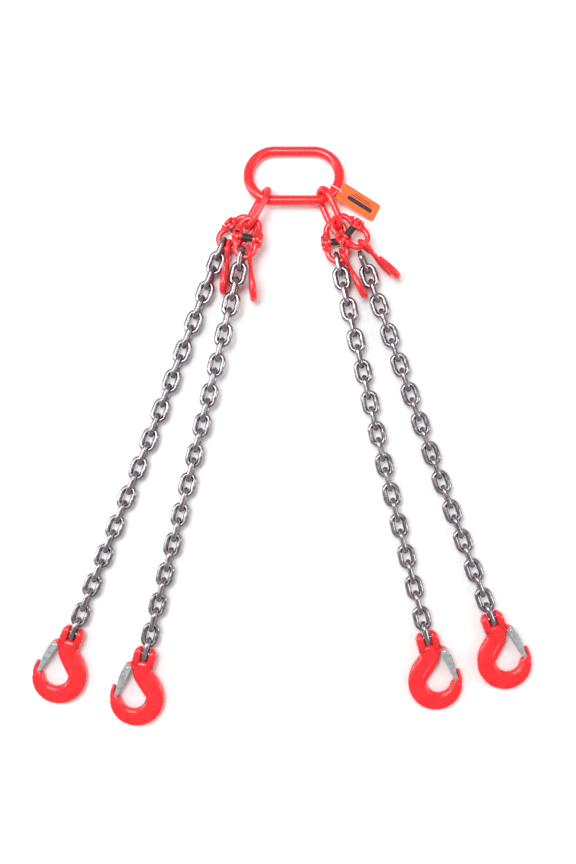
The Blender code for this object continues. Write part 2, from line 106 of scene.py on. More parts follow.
INTERMEDIATES = {
    "intermediate_link_left": ((-38.0, 339.9, 22.1), (-28.7, -0.9, -71.3)),
    "intermediate_link_right": ((55.2, 339.3, 21.9), (23.5, -0.2, -68.5)),
}
PIN_BELOW_BOW = 30.25
LINK_HALF = 16.0  # from a link's middle to the centre of its end bar
LINK_LAP = 9.3  # between the end bars of two runs that hang in each other
PIN_LAP = 9.65  # between a run's last end bar and the clevis pin
LOW_HEIGHT = 13.9  # where the upper run ends, above the floor
UPPER_LINKS = 13
UPPER_ROLL, LOWER_ROLL = -9, -4
HOOK_DROP = 3.2
LATCH_PIVOT = (-20.7, -26.3)
LATCH_LEAN = 7.3
MASTER_BEND = 39.75
MASTER_TILT = 9.77


def frame_at(place, heading=0.0, drop=0.0, roll=0.0):
    """A place turned by heading about Z, then by drop about X, then by roll about Y."""
    turn = [
        Matrix.Rotation(np.radians(heading), 4, "Z"),
        Matrix.Rotation(np.radians(drop), 4, "X"),
        Matrix.Rotation(np.radians(roll), 4, "Y"),
    ]
    return Matrix.Translation(place) @ turn[0] @ turn[1] @ turn[2]


def hung(placement):
    """The frame of a row of the table: a place in millimetres and its three turns."""
    place, turn = placement
    return frame_at(Vector(place) * MM + SHIFT, *turn)


def along(frame, y):
    """The frame moved y millimetres along its own Y axis."""
    return frame @ Matrix.Translation((0, y * MM, 0))


def leg_frames(leg):
    """The frames down one leg, matching the CAD joints."""
    f = {"upper_half": hung(leg["hammer"])}
    f["pin"] = along(f["upper_half"], -PIN_BELOW_BOW)
    f["first"] = hung(leg["link"])
    low = along(f["first"], -LINK_HALF)
    start = low @ Vector((0, LINK_LAP * MM, 0))
    run = 2 * LINK_HALF + (UPPER_LINKS - 1) * leg["pitch"]
    sink = np.degrees(np.arcsin((start.z / MM - LOW_HEIGHT) / run))
    f["upper"] = frame_at(start, leg["upper"], sink, UPPER_ROLL)
    start = along(f["upper"], -run) @ Vector((0, LINK_LAP * MM, 0))
    f["lower"] = frame_at(start, leg["lower"], 0, LOWER_ROLL)
    run = 2 * LINK_HALF + (leg["links"] - 1) * leg["pitch"]
    start = f["lower"] @ Vector((0, (PIN_LAP - run) * MM, 0))
    f["hook"] = frame_at(start, leg["hook"], HOOK_DROP)
    mouth = -leg["side"]
    pivot = Vector((mouth * LATCH_PIVOT[0], LATCH_PIVOT[1], 0)) * MM
    f["latch"] = f["hook"] @ frame_at(pivot, -mouth * LATCH_LEAN)
    f["grab"] = hung(leg["grab"])
    return f


rise = MASTER_BEND * np.sin(np.radians(MASTER_TILT))
master_frame = frame_at(Vector((8.6, 374.4, 7.75 + rise)) * MM + SHIFT, drop=-MASTER_TILT)
frames = {name: leg_frames(leg) for name, leg in LEGS.items()}
print("first hook at", frames["leg1"]["hook"].translation)

# %% [markdown]
# ## Surfaces from formulas
#
# Nearly every piece is a bar whose section changes along a line.  A `Shell` is a list of points and
# faces; `sweep` carries a superellipse along a line, and `turned` spins a profile about an axis.

# %% The surface kit
class Shell:
    """Points in millimetres and the faces between them, gathered one closed shape at a time."""

    def __init__(self):
        self.points, self.faces, self.count = [], [], 0

    def add(self, points, faces):
        self.points.append(np.asarray(points, float))
        self.faces += [tuple(int(i) + self.count for i in face) for face in faces]
        self.count += len(points)
        return self

    def placed(self, frame, mirror=False):
        """The points in millimetres carried into the row frame, reflected in X if asked."""
        points = np.concatenate(self.points) * MM
        if mirror:
            points = points * [-1, 1, 1]
        matrix = np.array(frame)
        return points @ matrix[:3, :3].T + matrix[:3, 3]


def grid_faces(rows, columns, closed_rows):
    """Quads over a grid of rows whose columns close on themselves, and its two end caps."""
    i = np.arange(rows if closed_rows else rows - 1)
    j = np.arange(columns)
    i, j = np.meshgrid(i, j, indexing="ij")
    here, right = i * columns + j, i * columns + (j + 1) % columns
    down = ((i + 1) % rows) * columns + j
    across = ((i + 1) % rows) * columns + (j + 1) % columns
    quads = np.stack([here, right, across, down], -1).reshape(-1, 4)
    faces = [tuple(q) for q in quads]
    if not closed_rows:
        faces.append(tuple(range(columns))[::-1])
        faces.append(tuple((rows - 1) * columns + k for k in range(columns)))
    return faces


def resampled(values, count):
    """A smooth run of count values through the stations given (Catmull-Rom, evenly spread)."""
    values = np.asarray(values, float).reshape(len(values), -1)
    padded = np.vstack([2 * values[0] - values[1], values, 2 * values[-1] - values[-2]])
    t = np.linspace(0, len(values) - 1, count)
    k = np.minimum(t.astype(int), len(values) - 2)
    u = (t - k)[:, None]
    a, b, c, d = padded[k], padded[k + 1], padded[k + 2], padded[k + 3]
    run = 2 * b + (c - a) * u + (2 * a - 5 * b + 4 * c - d) * u**2
    return (run + (3 * b - a - 3 * c + d) * u**3) / 2


def sweep(line, wide, thick, power=2.0, closed=False, sides=16, normal=(0, 0, 1)):
    """A superellipse carried along a line: wide lies in the line's plane, thick along its normal."""
    line = np.asarray(line, float)
    n = len(line)
    wide = np.broadcast_to(np.asarray(wide, float), n)
    thick = np.broadcast_to(np.asarray(thick, float), n)
    ahead, behind = np.roll(line, -1, 0), np.roll(line, 1, 0)
    if not closed:
        ahead[-1], behind[0] = line[-1], line[0]
    tangent = ahead - behind
    tangent /= np.linalg.norm(tangent, axis=1)[:, None]
    normal = np.broadcast_to(np.asarray(normal, float), line.shape)
    side = np.cross(tangent, normal)
    side /= np.linalg.norm(side, axis=1)[:, None]
    up = np.cross(side, tangent)
    a = np.linspace(0, 2 * np.pi, sides, endpoint=False) + np.pi / sides
    c = np.sign(np.cos(a)) * np.abs(np.cos(a)) ** (2 / power)
    s = np.sign(np.sin(a)) * np.abs(np.sin(a)) ** (2 / power)
    across = (wide[:, None] * c[None])[..., None] * side[:, None]
    rise = (thick[:, None] * s[None])[..., None] * up[:, None]
    points = (line[:, None] + across + rise).reshape(-1, 3)
    return points, [f[::-1] for f in grid_faces(n, sides, closed)]


def bullet(line, wide, thick, blunt=0.5, steps=4):
    """Extra stations at both ends of an open line, shrinking as a quarter circle to round them."""
    line = np.asarray(line, float)
    wide = np.broadcast_to(np.asarray(wide, float), len(line)).copy()
    thick = np.broadcast_to(np.asarray(thick, float), len(line)).copy()
    turn = np.linspace(0, np.pi / 2, steps + 1)[1:]
    shrink, push = np.cos(turn), np.sin(turn)
    shrink[-1] = 0.12

    def end(at, back, w, t):
        out = at - back
        out /= np.linalg.norm(out)
        reach = blunt * min(w, t)
        return at + out * push[:, None] * reach, w * shrink, t * shrink

    l1, w1, t1 = end(line[0], line[1], wide[0], thick[0])
    l2, w2, t2 = end(line[-1], line[-2], wide[-1], thick[-1])
    return (
        np.vstack([l1[::-1], line, l2]),
        np.concatenate([w1[::-1], wide, w2]),
        np.concatenate([t1[::-1], thick, t2]),
    )


def turned(profile, axis="Z", centre=(0, 0, 0), sides=28):
    """A closed profile of (radius, height) points spun about an axis through centre."""
    profile = np.asarray(profile, float)
    a = np.linspace(0, 2 * np.pi, sides, endpoint=False)
    x = profile[:, 0][:, None] * np.cos(a)
    y = profile[:, 0][:, None] * np.sin(a)
    z = np.repeat(profile[:, 1][:, None], sides, 1)
    order = {"Z": (x, y, z), "X": (z, x, y)}[axis]
    points = np.stack(order, -1).reshape(-1, 3) + centre
    return points, [f[::-1] for f in grid_faces(len(profile), sides, False)]


def rod(radius, low, high, axis="Z", centre=(0, 0, 0), edge=0.8, sides=28):
    """A bar end to end, its rims rounded by edge."""
    turn = np.linspace(0, np.pi / 2, 4)
    top = [(radius - edge + edge * np.sin(t), high - edge + edge * np.cos(t)) for t in turn]
    bottom = [(r, low + high - h) for r, h in top[::-1]]
    hub = 0.25 * (radius - edge)
    return turned([(hub, high), *top, *bottom, (hub, low)], axis, centre, sides)


def lobe(radius, low, high, reach, edge=1.2, steps=12):
    """A cheek along X from low to high: round about the X axis, and straight on to y = reach."""
    a = np.linspace(-np.pi / 2, np.pi / 2, steps)
    sign = -1 if reach > 0 else 1
    ring = [(sign * np.cos(t), np.sin(t)) for t in a]
    outline = np.array([(y * radius, z * radius) for y, z in ring])
    outline = np.vstack([outline, [(reach, radius), (reach, -radius)]])
    centre = np.array([reach / 2, 0])
    rows = []
    quarter = np.linspace(0, np.pi / 2, 4)
    for t in quarter:
        rows.append((low + edge - edge * np.cos(t), edge - edge * np.sin(t)))
    for t in quarter[::-1]:
        rows.append((high - edge + edge * np.cos(t), edge - edge * np.sin(t)))
    half = np.abs(outline - centre).max(0)
    points = []
    for x, inset in rows:
        scaled = centre + (outline - centre) * (1 - inset / half)
        points.append(np.column_stack([np.full(len(outline), x), scaled]))
    faces = grid_faces(len(rows), len(outline), False)
    return np.concatenate(points), faces


def circle(radius, start, end, count, centre=(0, 0), endpoint=True):
    """An arc in the XY plane from start to end degrees: centre + radius (cos a, sin a)."""
    a = np.radians(np.linspace(start, end, count, endpoint=endpoint))
    x, y = centre[0] + radius * np.cos(a), centre[1] + radius * np.sin(a)
    return np.column_stack([x, y, 0 * x])


def stadium(flat, bend, count=20):
    """The centreline of a link: half circles of radius bend joined by straights of 2 flat."""
    top = circle(bend, 0, 180, count, (0, flat))
    bottom = circle(bend, 180, 360, count, (0, -flat))
    t = np.linspace(0, 1, 6)[1:-1, None]
    left = top[-1] + (bottom[0] - top[-1]) * t
    right = bottom[-1] + (top[0] - bottom[-1]) * t
    return np.vstack([top, left, bottom, right])


def new_piece(name, shells, material, body, replaces=()):
    """One object from placed shells: a list of (points in the row frame, faces, reflected)."""
    points, faces, count = [], [], 0
    for placed, shape_faces, reflected in shells:
        points.append(placed)
        faces += [tuple(i + count for i in (f[::-1] if reflected else f)) for f in shape_faces]
        count += len(placed)
    mesh = bpy.data.meshes.new(name)
    mesh.from_pydata(np.concatenate(points).tolist(), [], faces)
    mesh.update()
    mesh.polygons.foreach_set("use_smooth", [len(f) <= 4 for f in faces])
    mesh.materials.append(material)
    piece = bpy.data.objects.new(name, mesh)
    bpy.context.scene.collection.objects.link(piece)
    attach(piece, body)
    if replaces:
        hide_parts(*replaces)
    return piece


# %% [markdown]
# ## Materials
#
# `Node` wraps one output socket, so a formula written with `*`, `+` and `-` builds the nodes for it.

# %% The material kit
class Node:
    """One output socket of a material's node tree, with the arithmetic that adds to the tree."""

    def __init__(self, tree, socket):
        self.tree, self.socket = tree, socket

    def make(self, kind, settings=None, **inputs):
        """Any node: inputs by name, with underscores for spaces, or by number, as i0 or i1."""
        node = self.tree.nodes.new(kind)
        for key, value in (settings or {}).items():
            setattr(node, key, value)
        for key, value in inputs.items():
            target = node.inputs[int(key[1:]) if key[1:].isdigit() else key.replace("_", " ")]
            if isinstance(value, Node):
                self.tree.links.new(value.socket, target)
            else:
                target.default_value = value
        return node

    def math(self, operation, other=0.0):
        """A Math node on this value and another."""
        node = self.make("ShaderNodeMath", {"operation": operation}, i0=self, i1=other)
        return Node(self.tree, node.outputs[0])

    def __mul__(self, other):
        return self.math("MULTIPLY", other)

    def __add__(self, other):
        return self.math("ADD", other)

    def __sub__(self, other):
        return self.math("SUBTRACT", other)

    def __rsub__(self, other):
        return self.math("MULTIPLY", -1.0) + other

    __rmul__ = __mul__
    __radd__ = __add__

    def ramp(self, low, high, start=0.0, end=1.0):
        """The value mapped from low..high to start..end, held outside."""
        node = self.make("ShaderNodeMapRange", None, Value=self, From_Min=low, From_Max=high,
                         To_Min=start, To_Max=end)
        return Node(self.tree, node.outputs["Result"])

    def blend(self, first, second):
        """A colour between two, by this value."""
        node = self.make("ShaderNodeMix", {"data_type": "RGBA"}, i0=self)
        for index, colour in ((6, first), (7, second)):
            if isinstance(colour, Node):
                self.tree.links.new(colour.socket, node.inputs[index])
            else:
                node.inputs[index].default_value = (*colour, 1)
        return Node(self.tree, node.outputs[2])

    def noise(self, scale, detail=3.0, roughness=0.5):
        """Fractal noise read at this vector, from 0 to 1."""
        node = self.make("ShaderNodeTexNoise", None, Vector=self, Scale=scale, Detail=detail,
                         Roughness=roughness)
        return Node(self.tree, node.outputs["Fac"])

    def bumped(self, strength, distance):
        """A normal tilted as if this value were a height, distance in metres."""
        node = self.make("ShaderNodeBump", None, Height=self, Strength=strength, Distance=distance)
        return Node(self.tree, node.outputs["Normal"])


def material(name, colour, roughness, metallic, build=None, coat=0.0):
    """A Principled material; build gets the object's coordinates and may link sockets."""
    finish = bpy.data.materials.new(name)
    finish.use_nodes = True
    tree = finish.node_tree
    shader = tree.nodes["Principled BSDF"]
    shader.inputs["Base Color"].default_value = (*colour, 1)
    shader.inputs["Roughness"].default_value = roughness
    shader.inputs["Metallic"].default_value = metallic
    shader.inputs["Coat Weight"].default_value = coat
    shader.inputs["Coat Roughness"].default_value = 0.12
    if build:
        place = Node(tree, tree.nodes.new("ShaderNodeTexCoord").outputs["Object"])
        geometry = tree.nodes.new("ShaderNodeNewGeometry")
        edge = Node(tree, geometry.outputs["Pointiness"])
        for socket, value in build(place, edge).items():
            tree.links.new(value.socket, shader.inputs[socket])
    return finish


def red_coat(place, edge):
    """Powder coat: fine orange peel over a slightly uneven forging, thinner on sharp edges."""
    broad, fine = place.noise(70, 2), place.noise(900, 2)
    pits = place.noise(260, 4, 0.65)
    height = broad * 0.5 + fine * 0.18 + pits * 0.32
    thin = edge.ramp(0.53, 0.60) * pits.ramp(0.45, 0.62)
    colour = broad.ramp(0.3, 0.7).blend((0.86, 0.010, 0.017), (0.95, 0.020, 0.026))
    return {
        "Base Color": (thin * 0.35).blend(colour, (0.42, 0.012, 0.014)),
        "Roughness": pits.ramp(0.3, 0.7, 0.22, 0.36),
        "Normal": height.bumped(0.35, 0.0006),
    }


def chain_steel(place, edge):
    """Quenched and oiled steel: mottled grey with a mauve cast, burnished where links rub."""
    mottle, grain = place.noise(120, 4, 0.6), place.noise(700, 3, 0.6)
    rub = edge.ramp(0.50, 0.56)
    base = mottle.ramp(0.35, 0.65).blend((0.15, 0.125, 0.14), (0.33, 0.29, 0.315))
    return {
        "Base Color": (rub * 0.4).blend(base, (0.56, 0.53, 0.55)),
        "Roughness": mottle.ramp(0.3, 0.7, 0.20, 0.34),
        "Normal": (mottle * 0.6 + grain * 0.4).bumped(0.3, 0.0004),
    }


def bright_zinc(place, edge):
    """Zinc plate on folded sheet: faint rolling marks and soft blotches."""
    blotch, grain = place.noise(160, 3), place.noise(1100, 2)
    return {
        "Base Color": blotch.ramp(0.3, 0.7).blend((0.70, 0.75, 0.77), (0.86, 0.89, 0.90)),
        "Roughness": blotch.ramp(0.3, 0.7, 0.24, 0.38),
        "Normal": (blotch * 0.5 + grain * 0.5).bumped(0.2, 0.0002),
    }


def worn_zinc(place, edge):
    """The latch's back: the same plating, dulled, and painted dark for the shade and dark reflection
    on its curved side.
    """
    blotch, grain = place.noise(140, 4, 0.6), place.noise(900, 2)
    return {
        "Base Color": blotch.ramp(0.35, 0.65).blend((0.13, 0.135, 0.14), (0.30, 0.31, 0.32)),
        "Roughness": blotch.ramp(0.3, 0.7, 0.34, 0.5),
        "Normal": (blotch * 0.5 + grain * 0.5).bumped(0.2, 0.0002),
    }


def black_sleeve(place, edge):
    """Dark moulded plastic with a fine grain."""
    grain = place.noise(600, 3)
    return {
        "Base Color": grain.ramp(0.3, 0.7).blend((0.012, 0.010, 0.010), (0.045, 0.035, 0.036)),
        "Roughness": grain.ramp(0.3, 0.7, 0.38, 0.6),
        "Normal": grain.bumped(0.3, 0.0003),
    }


def tag_paint(place, edge):
    """Orange enamel on a flat tag, a little uneven from wear."""
    wear, fine = place.noise(90, 4, 0.6), place.noise(800, 2)
    return {
        "Base Color": wear.ramp(0.35, 0.65).blend((1.0, 0.125, 0.014), (1.0, 0.165, 0.026)),
        "Roughness": wear.ramp(0.3, 0.7, 0.36, 0.52),
        "Normal": (wear * 0.5 + fine * 0.5).bumped(0.15, 0.0003),
    }


def white_tie(place, edge):
    """Smooth off-white plastic."""
    fine = place.noise(500, 2)
    return {
        "Base Color": fine.ramp(0.3, 0.7).blend((0.82, 0.81, 0.79), (0.92, 0.91, 0.89)),
        "Normal": fine.bumped(0.15, 0.0002),
    }


RED = material("red_coat", (0.9, 0.014, 0.02), 0.28, 0.0, red_coat, coat=0.45)
STEEL = material("chain_steel", (0.16, 0.145, 0.155), 0.38, 1.0, chain_steel)
PIN = material("pin_steel", (0.2, 0.19, 0.2), 0.35, 1.0, chain_steel)
ZINC = material("bright_zinc", (0.78, 0.82, 0.83), 0.3, 1.0, bright_zinc)
# painted shade: the latch's back is the same zinc as the cheeks, coloured dark to stand for the
# shade on its curved side
PAINTED_SHADE_ZINC = material("worn_zinc", (0.2, 0.21, 0.22), 0.42, 1.0, worn_zinc)
INK = material("tag_ink", (0.02, 0.018, 0.018), 0.5, 0.0, black_sleeve)
SLEEVE = material("black_sleeve", (0.025, 0.022, 0.022), 0.5, 0.0, black_sleeve)
TAG = material("tag_paint", (1.0, 0.145, 0.019), 0.45, 0.0, tag_paint)
TIE = material("white_tie", (0.9, 0.89, 0.87), 0.5, 0.0, white_tie)
print("materials", len(bpy.data.materials))

# %% [markdown]
# ## Master link and intermediate links
#
# Round bar bent to a stadium, with the slight swelling that a flash weld leaves on one straight.

# %% Welded rings
def welded_ring(flat, bend, bar, weld_at=(0, 0), swell=0.0, sides=20, count=28):
    """A stadium of round bar whose radius grows by swell over a few millimetres at the weld."""
    line = stadium(flat, bend, count)
    off = np.linalg.norm(line[:, :2] - np.asarray(weld_at, float), axis=1)
    radius = bar * (1 + swell * np.exp(-((off / (0.55 * bar)) ** 2)))
    return sweep(line, radius, radius, closed=True, sides=sides)


def simple(shape, frame, mirror=False):
    """A single shape placed in a frame, ready for new_piece."""
    shell = Shell().add(*shape)
    return shell.placed(frame, mirror), shell.faces, mirror


weld = (-MASTER_BEND, 0)
ring = welded_ring(30, MASTER_BEND, 7.7, weld, swell=0.03, sides=28, count=48)
lengthwise = master_frame @ Matrix.Rotation(np.pi / 2, 4, "Z")
new_piece("master", [simple(ring, lengthwise)], RED, "master", ["master_link"])
FLAT, BEND = 14.5, 17.75
ring = welded_ring(FLAT, BEND, 5.0, (BEND, 2), swell=0.04, sides=22, count=32)
for name, placement in INTERMEDIATES.items():
    body = "link_left" if name.endswith("left") else "link_right"
    centre = along(hung(placement), 13.1 - FLAT - BEND)
    new_piece("ring_" + body, [simple(ring, centre)], RED, body, [name])
print("rings made")

# %% [markdown]
# ## Hammerlock connectors
#
# A half is a forged bow that thickens into two ears.  One ear is a fork and the other a tongue, so
# the second half, turned end for end, meshes with it on the load pin.

# %% Forged halves
def bow():
    """The bow and arms: a bar along an arch, swelling from a round section to a blocky one."""
    arch = circle(14.6, 0, 180, 25, (0, 15.65))
    right = np.array([(15.6, 7.2, 0), (15.5, 8.6, 0), (15.1, 10.4, 0), (14.8, 13, 0)])
    line = np.vstack([right, arch, right[::-1] * [-1, 1, 1]])
    y = line[:, 1]
    widen = np.clip((15.5 - y) / 7, 0, 1) ** 1.5
    return sweep(line, 4.3 + 3.1 * widen, 4.25 + 1.7 * widen, 2.5, sides=20)


def half_shell():
    """A whole half: origin on the load pin, bow towards +Y, fork on -X and tongue on +X."""
    shell = Shell().add(*bow())
    for low, high in ((-13.3, -8.6), (-23.4, -18.9), (13.6, 18.4)):
        shell.add(*lobe(6.0, low, high, 9.5, edge=0.9))
    return shell


def sleeve_shape():
    """A bush with seven ribs: its radius steps out and in every 2.3 mm along the load pin."""
    profile = [(4.2, 8.1), (5.0, 8.1)]
    for k in range(7):
        rib = [(5.35, 7.9), (5.35, 6.6), (4.9, 6.3), (4.9, 5.9)]
        profile += [(radius, height - 2.3 * k) for radius, height in rib]
    profile = [point for point in profile if point[1] > -8.0]
    return turned(profile + [(5.0, -8.1), (4.2, -8.1)], "X")


half = half_shell()
for name in LEGS:
    f = frames[name]
    flip = f["pin"] @ Matrix.Rotation(np.pi, 4, "Z")
    upper = [(half.placed(f["pin"]), half.faces, False)]
    lower = [(half.placed(flip), half.faces, False)]
    new_piece(f"{name}_upper_half_forging", upper, RED, f"{name}_upper_half",
              [f"{name}_hammerlock_upper_half"])
    new_piece(f"{name}_lower_half_forging", lower, RED, f"{name}_lower_half",
              [f"{name}_hammerlock_lower_half"])
    pin = simple(rod(3.8, -22.9, 22.9, "X", edge=0.7), f["pin"])
    new_piece(f"{name}_load_pin_bar", [pin], PIN, f"{name}_upper_half",
              [f"{name}_load_pin"])
    sleeve = simple(sleeve_shape(), f["pin"])
    new_piece(f"{name}_sleeve_ribs", [sleeve], SLEEVE, f"{name}_upper_half",
              [f"{name}_centring_sleeve"])
print("hammerlocks made")

# %% [markdown]
# ## Chain
#
# Every link is its own closed ring, turned square to its neighbours.  The twist of the laid out
# chain eases along each leg.

# %% Links
link = welded_ring(6.5, 9.5, 4.0, weld_at=(9.5, 0), swell=0.09, sides=14, count=14)


def run_of_links(frame, count, pitch, first_on_edge, twist):
    """Placed links down a run, their roll about the run easing from 0 to twist degrees."""
    placed = []
    for k in range(count):
        on_edge = (k % 2 == 0) == first_on_edge
        roll = np.radians((90 if on_edge else 0) + twist * k / count)
        at = along(frame, -LINK_HALF - k * pitch) @ Matrix.Rotation(roll, 4, "Y")
        placed.append(simple(link, at))
    return placed


for name, leg in LEGS.items():
    f = frames[name]
    new_piece(f"{name}_link", [simple(link, f["first"])], STEEL, f"{name}_first_link",
              [f"{name}_first_chain_link"])
    upper = run_of_links(f["upper"], UPPER_LINKS, leg["pitch"], False, 3)
    new_piece(f"{name}_upper_links", upper, STEEL, f"{name}_upper_chain",
              [f"{name}_upper_chain"])
    lower = run_of_links(f["lower"], leg["links"], leg["pitch"], True, 2)
    new_piece(f"{name}_lower_links", lower, STEEL, f"{name}_lower_chain",
              [f"{name}_lower_chain"])
print("links", sum(1 + UPPER_LINKS + leg["links"] for leg in LEGS.values()))

# %% [markdown]
# ## Shortening hooks
#
# A round eye, and a shank that thickens round the slot and ends in a turned out tip.

# %% Shortening hooks
def grab_shell():
    """The eye is a plain ring; the hook is a superellipse swept through the stations."""
    eye = circle(12.2, 0, 360, 40, endpoint=False)
    stations = [(0, -12.5), (-2.2, -18), (-5, -24), (-8.5, -30), (-11.5, -37), (-13, -45),
                (-12.2, -54), (-8, -60.5), (0, -63.2), (8, -60.5), (12.2, -54), (13.2, -45),
                (13.6, -38), (15.8, -31), (18.6, -26.5)]
    size = [4.6, 4.9, 5.6, 6.4, 7.3, 7.8, 8.1, 8.3, 8.3, 8.2, 7.9, 7.4, 6.6, 5.2, 3.9]
    line = resampled([(x, y, 0) for x, y in stations], 60)
    size = resampled(size, 60)[:, 0]
    line, wide, thick = bullet(line, size, size * 0.68, blunt=0.7)
    shell = Shell().add(*sweep(eye, 3.65, 3.65, closed=True, sides=18))
    return shell.add(*sweep(line, wide, thick, 2.4, sides=20))


grab = grab_shell()
for name in LEGS:
    placed = [(grab.placed(frames[name]["grab"]), grab.faces, False)]
    new_piece(f"{name}_grab_forging", placed, RED, f"{name}_shortening_hook",
              [f"{name}_shortening_hook"])
print("shortening hooks made")

# %% [markdown]
# ## Sling hooks
#
# Each station is a pair of points, on the inside and the outside of the hook; the section between
# them is a superellipse, flat on its flanks and rounded at its edges.

# %% Hook bodies
def bowl_arc(centre, radius, angles):
    """Points at the given angles, in degrees, on a circle."""
    angles = np.radians(angles)
    ring = np.column_stack([np.cos(angles), np.sin(angles)])
    return [tuple(point) for point in np.array(centre) + radius * ring]


def hook_body():
    """The hook from its shank round the bowl to its tip: pairs of points, inside and outside."""
    bends = (20, -6, -32, -58, -84, -110, -134)
    shank_inside = [(-13.6, -17.5), (-13, -24), (-12, -31.5), (-8, -36.8), (-0.6, -44.2), (8, -52.6)]
    shank_outside = [(15.6, -16), (16, -20), (18.2, -27.5), (22, -33), (30, -39.4), (38.2, -47)]
    seat = bowl_arc((-2, -68.5), 19.3, (*bends, -158))
    back = bowl_arc((4.5, -71), 41.6, (*bends, -157))
    tip_inside = [(-23.2, -74.4), (-27.6, -73.4), (-30.8, -70.8), (-31.2, -65), (-31.6, -60.6)]
    tip_outside = [(-35.6, -82.4), (-37.1, -77), (-37.6, -71.2), (-37.5, -65), (-37.2, -60.9)]
    inside = shank_inside + seat + tip_inside
    outside = shank_outside + back + tip_outside
    half = [9.2, 8.9, 8.0, 7.7, 7.6] + [7.5] * 7 + [7.4, 7.2, 6.7, 6.2, 5.6, 4.9, 4.2]
    return np.array(inside, float), np.array(outside, float), np.array(half, float)


def hook_shell():
    """The forging: body, lugs, latch boss and the raised edge round the bowl's seat."""
    inside, outside, half = hook_body()
    middle = np.column_stack([(inside + outside) / 2, np.zeros(len(inside))])
    line = resampled(middle, 132)
    wide = resampled(np.linalg.norm(outside - inside, axis=1) / 2, 132)[:, 0]
    thick = resampled(half, 132)[:, 0]
    line, wide, thick = bullet(line, wide, thick, blunt=0.8)
    shell = Shell().add(*sweep(line, wide, thick, 3.4, sides=32))
    for sign in (-1, 1):
        shell.add(*lug(sign))
    shell.add(*rod(6.0, -6.6, 6.6, "Z", (*LATCH_PIVOT, 0), edge=1.4))
    neck = np.array([(-20.2, -25.6, 0), (-16, -22.6, 0), (-10, -20.5, 0)], float)
    shell.add(*sweep(neck, [5.4, 6.8, 8.0], [6.2, 7.0, 8.2], 3, sides=20))
    return shell.add(*seat_ridge())


def lug(sign):
    """One side of the clevis: a block whose outer corner is chamfered towards its rounded top."""
    across = np.array([6.1, 6.9, 9.0, 11.6, 14.4, 16.4, 17.2])
    top = np.array([7.6, 9.2, 9.7, 9.6, 7.0, 3.6, 1.6])
    deep = np.array([7.9, 8.9, 9.5, 9.5, 9.0, 7.9, 6.6])
    turn = np.linspace(0, np.pi, 15)
    rows = []
    for x, high, half in zip(across, top, deep):
        y = np.concatenate([high * np.sin(turn) ** 0.8, [-19.4 + 0.25 * (9.7 - half)] * 2])
        z = np.concatenate([half * np.cos(turn), [-half, half]])
        rows.append(np.column_stack([np.full(len(y), sign * x), y, z]))
    faces = grid_faces(len(rows), len(rows[0]), False)
    return np.concatenate(rows), faces if sign > 0 else [f[::-1] for f in faces]


def seat_ridge():
    """A low rounded rib that follows the inside edge of the bowl on both flanks."""
    inside = hook_body()[0]
    line = resampled(np.column_stack([inside, np.zeros(len(inside))])[3:14], 90)
    ahead = np.gradient(line, axis=0)
    ahead /= np.linalg.norm(ahead, axis=1)[:, None]
    away = np.column_stack([-ahead[:, 1], ahead[:, 0], 0 * ahead[:, 0]])
    fade = np.sin(np.linspace(0.06, np.pi - 0.06, 90)) ** 0.35
    line, wide, thick = bullet(line + away * 5.6, 3.3 * fade, 8.35 * (0.86 + 0.14 * fade), 0.5)
    return sweep(line, wide, thick, 2.6, sides=20)


def spring_line():
    """A helix of four turns about the rivet, with a leg reaching down the latch."""
    a = np.linspace(0, 8 * np.pi, 96)
    coil = np.column_stack([3.2 * np.cos(a), 3.2 * np.sin(a), -1.7 + 3.4 * a / a[-1]])
    leg = np.array([(3.1, -3.0, 1.75), (2.2, -7.0, 1.8), (1.0, -11.0, 1.8)])
    return np.vstack([coil, leg])


hook = hook_shell()
spring = spring_line()
for name, leg in LEGS.items():
    f, flip = frames[name], leg["side"] > 0
    body = f"{name}_sling_hook"
    new_piece(f"{name}_hook_forging", [(hook.placed(f["hook"], flip), hook.faces, flip)], RED,
              body, [f"{name}_sling_hook"])
    pin = simple(rod(4.35, -16.9, 16.9, "X", edge=1.0), f["hook"])
    roll = simple(rod(1.6, -9.2, 9.2, "Z", (-12.6, -5.4, 0), edge=0.4, sides=16), f["hook"], flip)
    new_piece(f"{name}_clevis_pin_bar", [pin], PIN, body, [f"{name}_clevis_pin"])
    new_piece(f"{name}_roll_pin", [roll], PIN, body, ())
    rivet = simple(rod(2.0, -9.9, 9.9, "Z", edge=0.9, sides=20), f["latch"])
    new_piece(f"{name}_rivet", [rivet], ZINC, body, [f"{name}_latch_rivet"])
    coil = simple(sweep(spring, 0.35, 0.35, sides=8), f["latch"], flip)
    new_piece(f"{name}_spring_coil", [coil], ZINC, body, [f"{name}_latch_spring"])
print("sling hooks made")

# %% [markdown]
# ## Latches
#
# A latch is a folded strip of plated sheet: two cheeks either side of the hook and a back that
# joins them on the outside.  The back stands out a little and fades away where it meets the tip.
# The back's dark colour is painted shade: it is the same plating as the cheeks.

# %% Latches
def plate(outline, low, high, edge=0.3):
    """A flat plate from low to high: the outline's rings shrink by edge at both faces."""
    outline = np.asarray(outline, float)[:, :2]
    centre = outline.mean(0)
    half = np.abs(outline - centre).max(0)
    rings = []
    for z, inset in ((low, edge), (low + edge, 0), (high - edge, 0), (high, edge)):
        ring = centre + (outline - centre) * (1 - inset / half)
        rings.append(np.column_stack([ring, np.full(len(ring), z)]))
    return np.concatenate(rings), [f[::-1] for f in grid_faces(4, len(outline), False)]


def latch_cheeks():
    """Two tapered cheeks, round about the rivet and narrow at the closed end."""
    head = circle(5.9, 0, 180, 24)
    foot = np.array([(-4.4, -44.6, 0), (-3.6, -46.1, 0), (0.6, -46.3, 0), (1.5, -45.2, 0)])
    outline = np.vstack([head, foot])
    shell = Shell()
    for low, high in ((-9.05, -7.85), (7.85, 9.05)):
        shell.add(*plate(outline, low, high))
    return shell


